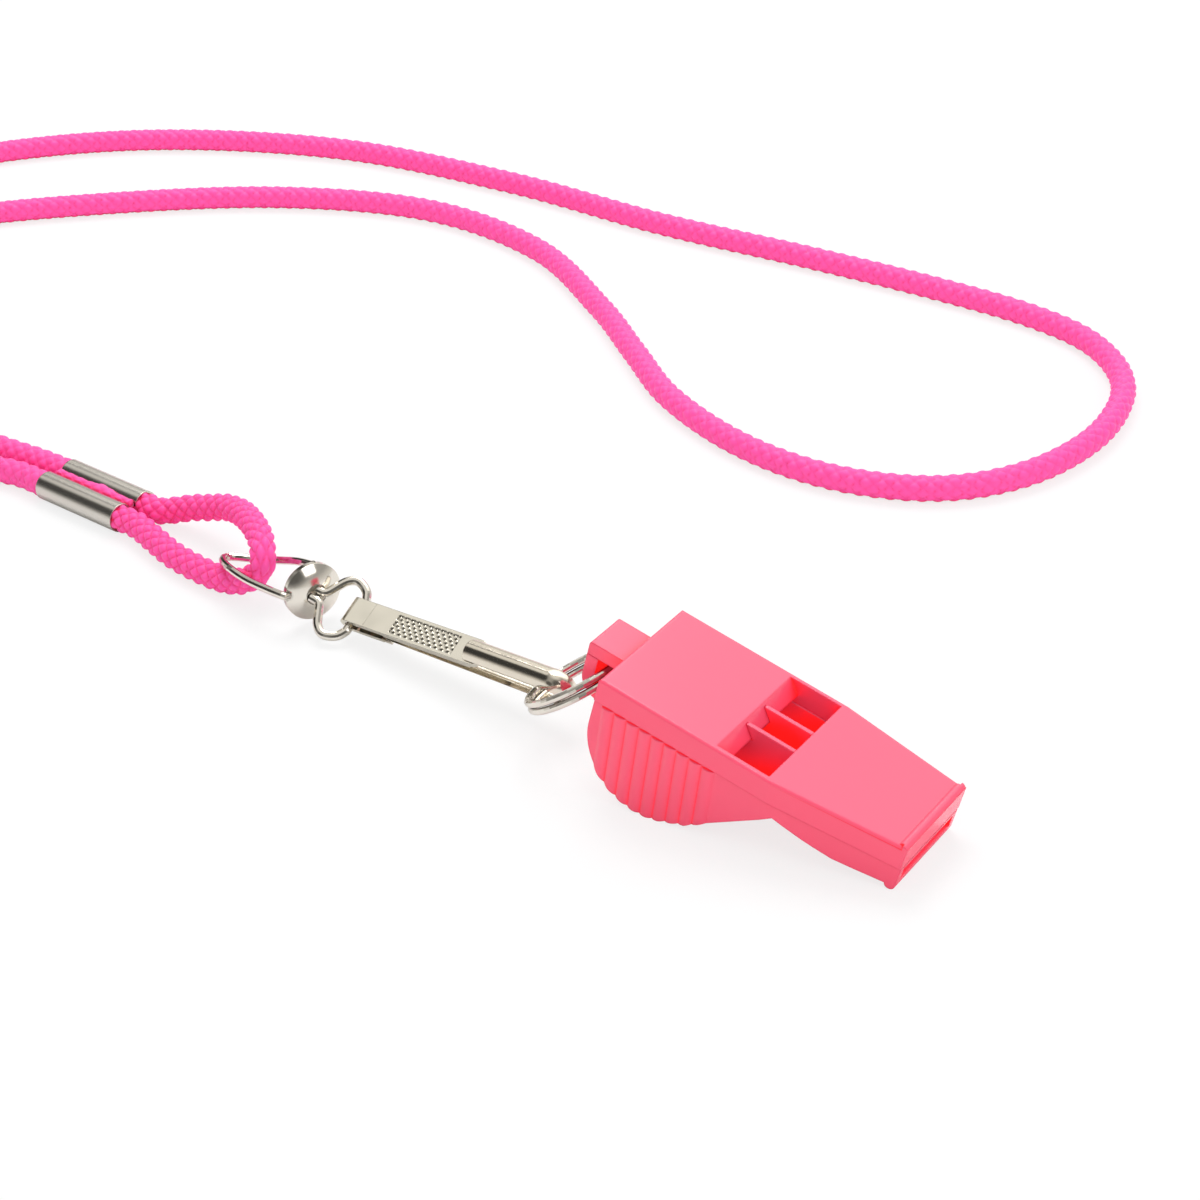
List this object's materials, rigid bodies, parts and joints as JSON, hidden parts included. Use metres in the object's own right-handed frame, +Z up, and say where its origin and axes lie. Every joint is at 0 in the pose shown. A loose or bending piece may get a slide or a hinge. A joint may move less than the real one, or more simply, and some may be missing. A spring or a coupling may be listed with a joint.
{
  "type": "sports whistle",
  "caption": "Flat pealess whistle with a split ring, a sprung swivel hook and a crimped neck cord, laid out on a table.",
  "frame": {"origin": "centre of the foot of the box round the whistle and its metal hardware, on the table, without the cord and its crimp", "axes": "+X from the cord towards the whistle's mouthpiece, +Y across the whistle towards the cord's loop, +Z up from the table"},
  "size_m": [0.307, 0.1764, 0.0209],
  "materials": {
    "whistle_plastic": "moulded pink ABS, satin gloss",
    "ring_steel": "nickel plated spring wire",
    "hook_steel": "nickel plated pressed steel",
    "spring_steel": "nickel plated spring strip, knurled",
    "crimp_steel": "nickel plated sheet",
    "cord": "braided polyester, neon pink"
  },
  "bodies": {
    "lanyard": {"neck_cord_out": "cord", "neck_cord_bend": "cord", "neck_cord_back": "cord", "eye_cord": "cord", "crimped_cord": "cord", "cord_crimp": "crimp_steel"},
    "swivel": {"swivel_bail": "hook_steel"},
    "loop": {"swivel_loop": "hook_steel"},
    "hook": {"hook_body": "hook_steel", "eye_strap": "spring_steel", "strap_rivet": "hook_steel"},
    "gate": {"thumb_gate": "spring_steel"},
    "ring": {"split_ring": "ring_steel"},
    "whistle": {"top_cover": "whistle_plastic", "lower_body": "whistle_plastic"}
  },
  "joints": [
    {"name": "bail_swing", "type": "hinge", "parent": "lanyard", "child": "swivel", "pos_m": [-0.0569, 0.0074, 0.0078], "axis": [0, 0, 1], "range_deg": [-10, 10]},
    {"name": "swivel_spin", "type": "hinge", "parent": "swivel", "child": "loop", "pos_m": [-0.04551, 0.00661, 0.00552], "axis": [0.8976, -0.4378, 0.0523], "continuous": true},
    {"name": "hook_fold", "type": "hinge", "parent": "loop", "child": "hook", "pos_m": [-0.0385, 0.00713, 0.00356], "axis": [0.0797, 0.855, 0.5124], "range_deg": [-60, 60]},
    {"name": "gate_press", "type": "hinge", "parent": "hook", "child": "gate", "pos_m": [-0.03486, 0.0064, 0.00481], "axis": [0.0797, 0.855, 0.5124], "range_deg": [0, 6], "stiffness_Nm_per_rad": 0.3, "springref_deg": -1.15},
    {"name": "ring_swing", "type": "hinge", "parent": "hook", "child": "ring", "pos_m": [0.00132, 0.0014, 0.00702], "axis": [-0.1607, -0.9816, -0.1028], "range_deg": [-12, 15]},
    {"name": "whistle_swing", "type": "hinge", "parent": "ring", "child": "whistle", "pos_m": [0.01534, -0.0002, 0.01599], "axis": [0, 1, 0], "range_deg": [-30, 30]}
  ]
}
